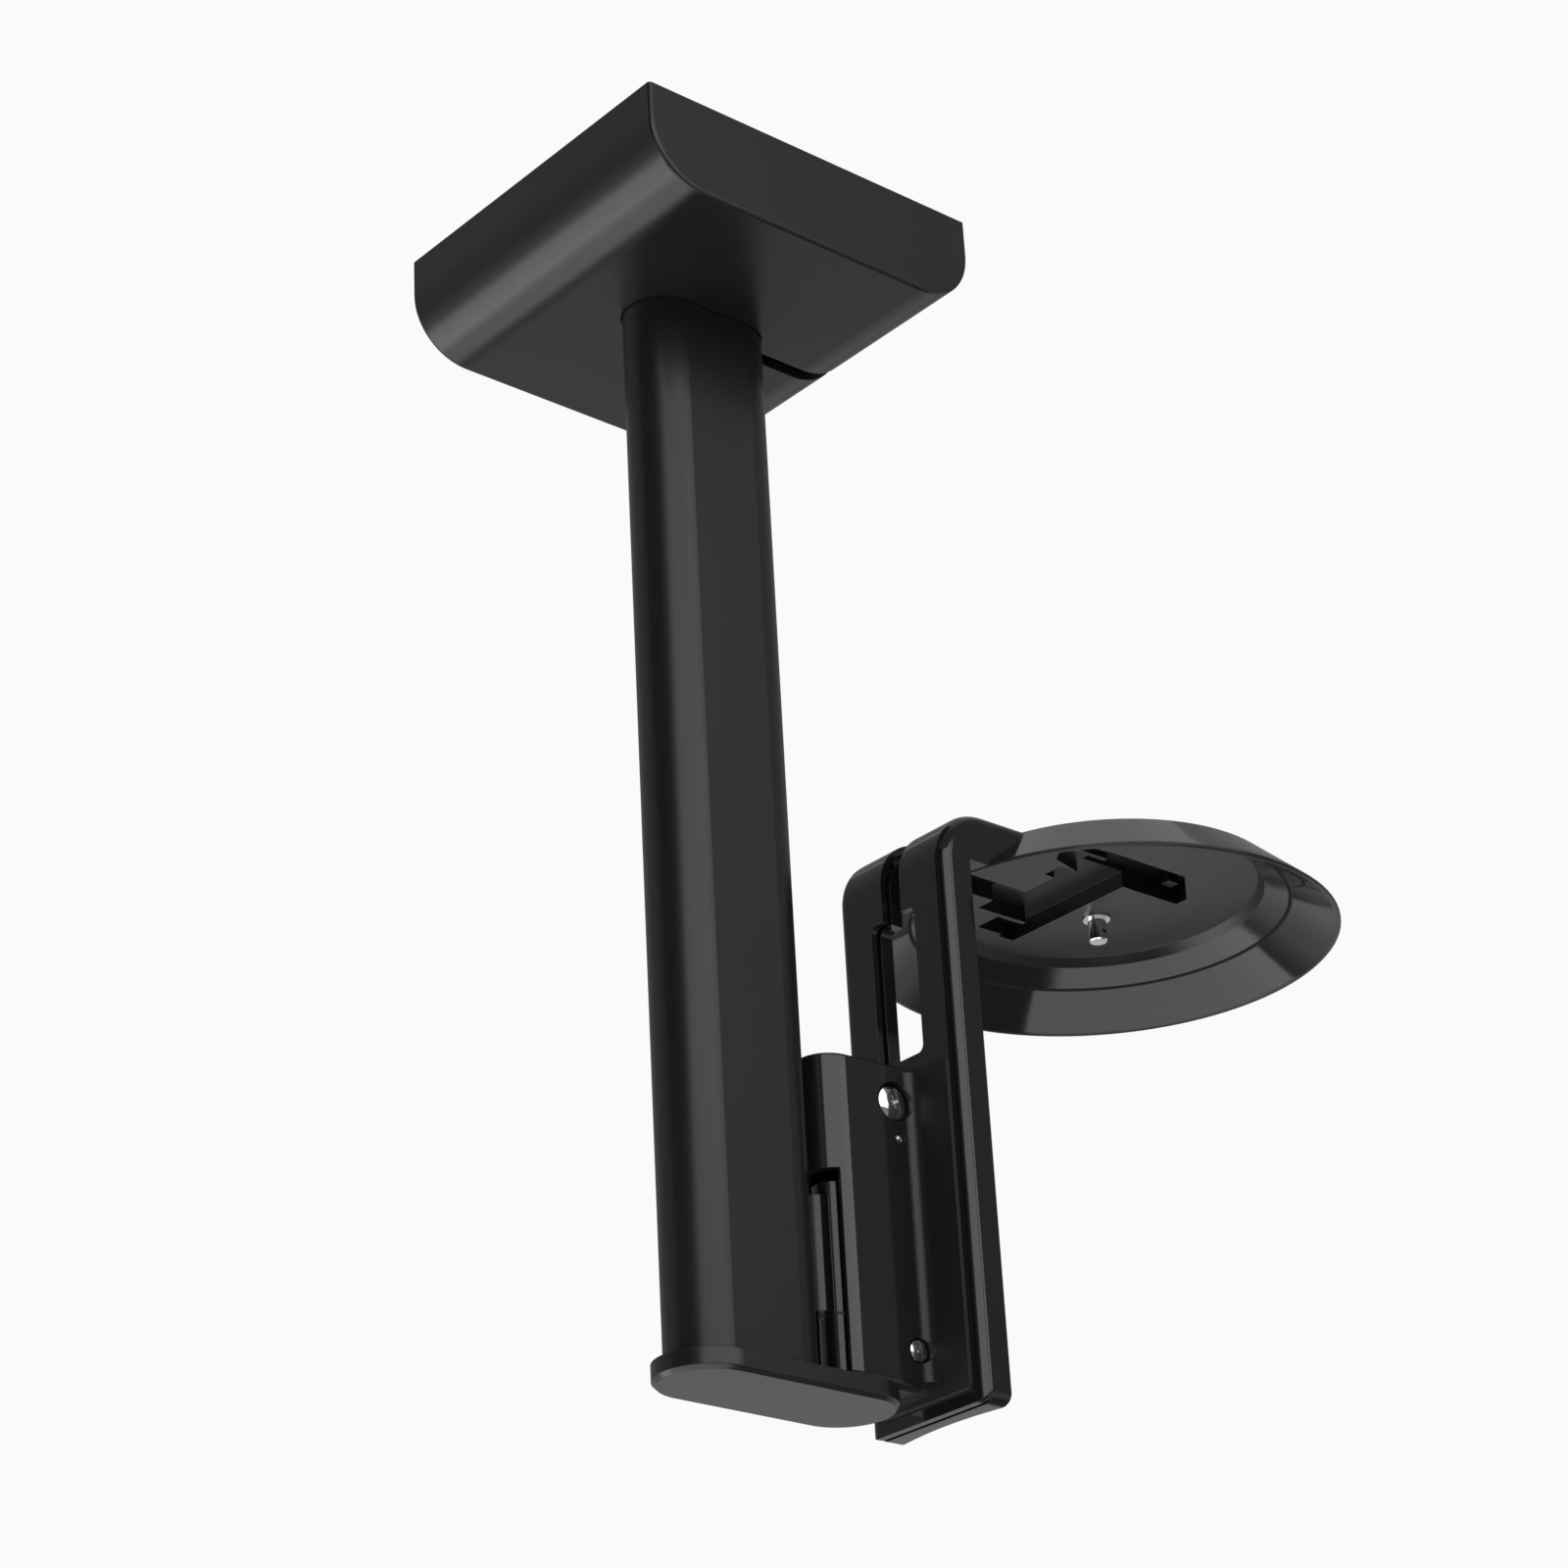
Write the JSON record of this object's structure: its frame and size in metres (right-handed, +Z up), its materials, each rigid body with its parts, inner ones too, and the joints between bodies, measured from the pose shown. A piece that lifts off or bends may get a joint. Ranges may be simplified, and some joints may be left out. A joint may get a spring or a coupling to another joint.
{
  "type": "speaker ceiling mount",
  "caption": "Ceiling mount for a speaker: box cover on an oval column, with a swivel and tilt hinge at its foot carrying an upright cradle that ends in a dish-shaped seat.",
  "frame": {"origin": "centre of the ceiling face, on the column's middle line", "axes": "+Z up towards the ceiling, +X from the column through the hinge to the dish, +Y to the column's far flat side"},
  "size_m": [0.2387, 0.1228, 0.3075],
  "materials": {
    "plated_steel": "zinc plated sheet",
    "satin_black_plastic": "fine satin",
    "satin_black_aluminium": "black powder coat, satin",
    "screw_steel": "zinc plated",
    "hinge_black_metal": "gloss black",
    "washer_nylon": "black nylon",
    "gloss_black_metal": "gloss black paint",
    "bright_chrome": "bright plated",
    "gloss_black_plastic": "high gloss moulding",
    "seat_black_plastic": "smooth moulding"
  },
  "bodies": {
    "post": {"ceiling_plate": "plated_steel", "ceiling_cover": "satin_black_plastic", "column": "satin_black_aluminium", "column_screws": "screw_steel", "end_cap": "satin_black_plastic", "hinge_bracket": "hinge_black_metal", "hinge_bracket_screws": "screw_steel", "hinge_pin": "hinge_black_metal"},
    "swivel": {"hinge_washer": "washer_nylon", "swivel_block": "hinge_black_metal", "pivot_washers": "washer_nylon"},
    "head": {"tilt_housing": "gloss_black_metal", "lock_bolt": "bright_chrome", "lock_nut": "screw_steel", "pivot_screw": "bright_chrome", "grub_screw": "bright_chrome", "back_cover": "gloss_black_plastic", "cradle": "gloss_black_plastic", "cradle_screws": "screw_steel", "seat_tray": "seat_black_plastic", "locating_stud": "bright_chrome"}
  },
  "joints": [
    {"name": "swivel_hinge", "type": "hinge", "parent": "post", "child": "swivel", "pos_m": [0.0306, 0, -0.2938], "axis": [0, 0, 1], "range_deg": [-35, 35]},
    {"name": "tilt_hinge", "type": "hinge", "parent": "swivel", "child": "head", "pos_m": [0.0471, 0, -0.2924], "axis": [0, 1, 0], "range_deg": [0, 5]}
  ]
}
